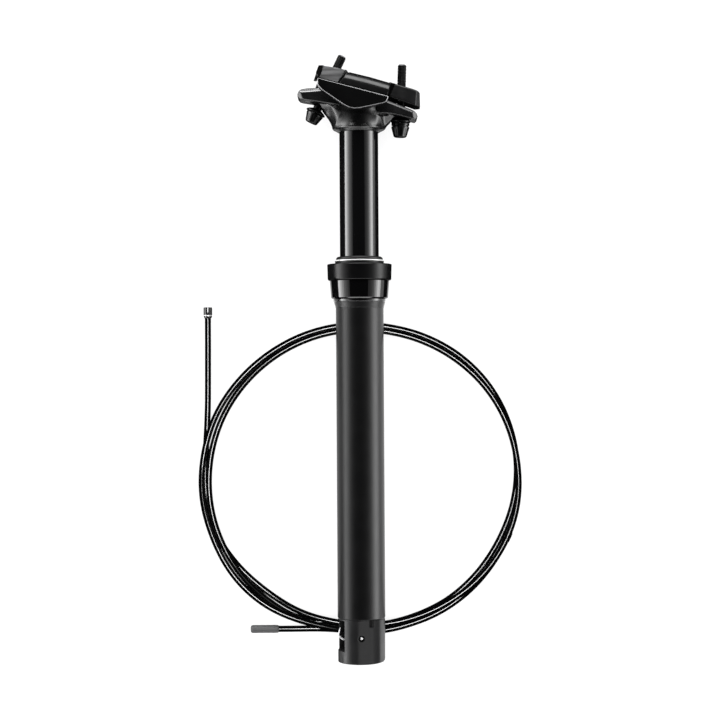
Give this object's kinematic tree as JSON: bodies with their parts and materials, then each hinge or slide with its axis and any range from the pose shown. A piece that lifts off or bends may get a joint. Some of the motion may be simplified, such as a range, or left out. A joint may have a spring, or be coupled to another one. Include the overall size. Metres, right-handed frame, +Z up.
{
  "type": "dropper seatpost",
  "caption": "Telescopic bicycle seatpost with a sliding upper tube, knurled collar, two-bolt saddle clamp, cable actuator at the foot and a coil of cable housing.",
  "frame": {"origin": "centre of the post's footprint on the surface it lies on, measured without the cable housing; the post's axis is 27 mm above it", "axes": "+Y along the post toward the saddle clamp, +X toward the front of the bicycle, +Z up from the surface; the post lies on its side"},
  "size_m": [0.2184, 0.4023, 0.054],
  "materials": {
    "tube_black": "matte anodised",
    "lip_black": "satin anodised, turned steps",
    "gloss_black": "gloss",
    "collar_black": "diamond knurl, satin anodised",
    "seal_rubber": "matt",
    "trim_silver": "satin",
    "bushing_plastic": "smooth",
    "brass": "smooth",
    "stanchion_black": "polished, black anodised",
    "plain_aluminium": "turned",
    "steel": "ground",
    "actuator_black": "matte anodised",
    "bolt_black": "black oxide, satin",
    "lever_silver": "machined",
    "head_black": "forged, satin black",
    "cradle_black": "flat black",
    "clamp_black": "satin black, brushed in places",
    "ferrule_black": "gloss",
    "housing_black": "semi-gloss jacket",
    "sleeve_black": "matt heat-shrink"
  },
  "bodies": {
    "post_outer": {"outer_tube": "tube_black", "lower_lip": "lip_black", "gloss_ring": "gloss_black", "knurled_collar": "collar_black", "lower_seal": "seal_rubber", "seal_trim_ring": "trim_silver", "wiper_seal": "seal_rubber", "upper_bushing": "bushing_plastic", "topout_spacer": "bushing_plastic", "cartridge_body": "plain_aluminium", "cartridge_base": "plain_aluminium", "retaining_ring": "steel", "cartridge_gland": "bushing_plastic", "return_spring": "steel", "actuator_housing": "actuator_black", "cable_stop": "plain_aluminium", "lever_pivot_pin": "steel", "end_screw": "bolt_black", "housing_ferrule": "ferrule_black", "housing_coil": "housing_black", "housing_straight": "housing_black", "housing_lead": "housing_black", "short_lead": "housing_black", "end_sleeve": "sleeve_black"},
    "stanchion": {"stanchion_tube": "stanchion_black", "lower_bushing": "bushing_plastic", "key_pin_1": "brass", "key_pin_2": "brass", "key_pin_3": "brass", "rod_end_plug": "plain_aluminium", "piston_rod": "steel", "piston": "plain_aluminium", "head_forging": "head_black"},
    "floating_piston_body": {"floating_piston": "bushing_plastic"},
    "clamp": {"lower_cradle": "cradle_black", "upper_clamp": "clamp_black"},
    "rear_bolt_set": {"rear_bolt": "bolt_black", "rear_washer": "bolt_black"},
    "front_bolt_set": {"front_bolt": "bolt_black", "front_washer": "bolt_black"},
    "rear_nut_body": {"rear_nut": "steel"},
    "front_nut_body": {"front_nut": "steel"},
    "lever": {"actuator_lever": "lever_silver", "wire_barrel": "brass"},
    "release": {"release_pin": "steel"}
  },
  "joints": [
    {"name": "dropper_slide", "type": "slide", "parent": "post_outer", "child": "stanchion", "axis": [0, 1, 0], "range_m": [-0.08, 0]},
    {"name": "floating_piston_slide", "type": "slide", "parent": "post_outer", "child": "floating_piston_body", "axis": [0, 1, 0], "range_m": [-0.0167, 0]},
    {"name": "clamp_tilt", "type": "hinge", "parent": "stanchion", "child": "clamp", "pos_m": [0, 0.186, 0.027], "axis": [0, 0, 1], "range_deg": [-3, 5]},
    {"name": "rear_bolt_swing", "type": "hinge", "parent": "stanchion", "child": "rear_bolt_set", "pos_m": [-0.03181, 0.15629, 0.027], "axis": [0, 0, 1], "range_deg": [-2, 2]},
    {"name": "front_bolt_swing", "type": "hinge", "parent": "stanchion", "child": "front_bolt_set", "pos_m": [0.02749, 0.14911, 0.027], "axis": [0, 0, 1], "range_deg": [-3, 3]},
    {"name": "rear_nut_turn", "type": "hinge", "parent": "clamp", "child": "rear_nut_body", "pos_m": [-0.01813, 0.18466, 0.027], "axis": [0, 0, 1], "range_deg": [-8, 8]},
    {"name": "front_nut_turn", "type": "hinge", "parent": "clamp", "child": "front_nut_body", "pos_m": [0.02836, 0.17367, 0.027], "axis": [0, 0, 1], "range_deg": [-9, 9]},
    {"name": "lever_swing", "type": "hinge", "parent": "post_outer", "child": "lever", "pos_m": [0, -0.1833, 0.027], "axis": [0, 0, -1], "range_deg": [0, 17.2], "stiffness_Nm_per_rad": 0.08, "springref_deg": -17.19},
    {"name": "release_pin_slide", "type": "slide", "parent": "post_outer", "child": "release", "axis": [0, 1, 0], "range_m": [0, 0.0012], "deforming": ["return_spring"]}
  ],
  "couplings": [
    {"joint": "floating_piston_slide", "follows": "dropper_slide", "ratio": 0.2066},
    {"joint": "rear_bolt_swing", "follows": "clamp_tilt", "ratio": -0.288},
    {"joint": "front_bolt_swing", "follows": "clamp_tilt", "ratio": -0.461},
    {"joint": "rear_nut_turn", "follows": "clamp_tilt", "ratio": -1.288},
    {"joint": "front_nut_turn", "follows": "clamp_tilt", "ratio": -1.461},
    {"joint": "lever_swing", "follows": "release_pin_slide", "rad_per_m": 250}
  ]
}
